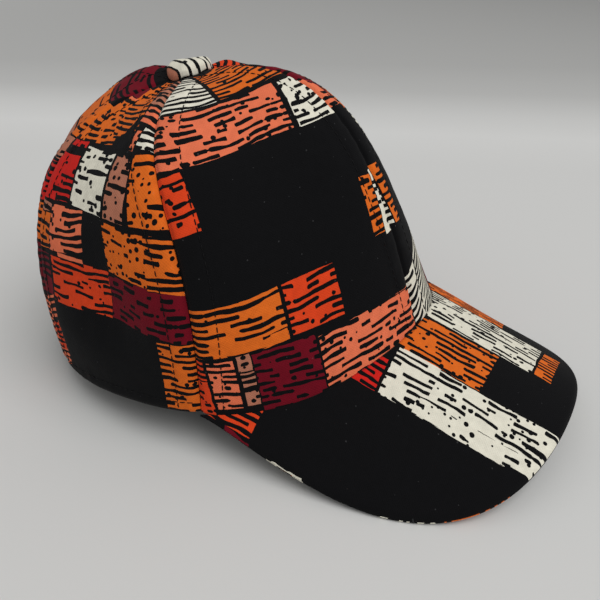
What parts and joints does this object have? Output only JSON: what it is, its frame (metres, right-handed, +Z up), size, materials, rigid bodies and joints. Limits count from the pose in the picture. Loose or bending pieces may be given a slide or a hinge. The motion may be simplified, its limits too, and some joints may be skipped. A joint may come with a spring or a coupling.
{
  "type": "patchwork print peaked cap",
  "caption": "Soft peaked cap of printed cotton panels with a covered button on top and a curved, cloth-covered peak in front.",
  "frame": {"origin": "on the surface the cap rests on, under the middle of the whole cap", "axes": "+Z up, the peak points along -Y, the wearer's right side is at -X"},
  "size_m": [0.1692, 0.2618, 0.1375],
  "materials": {
    "printed_cotton": "matt plain-weave cotton, printed",
    "sewing_thread": "matt spun polyester thread"
  },
  "bodies": {
    "root": {"front_right_panel": "printed_cotton", "front_left_panel": "printed_cotton", "side_right_panel": "printed_cotton", "side_left_panel": "printed_cotton", "back_right_panel": "printed_cotton", "back_left_panel": "printed_cotton", "button": "printed_cotton", "peak_top": "printed_cotton", "peak_under": "printed_cotton"}
  },
  "joints": []
}
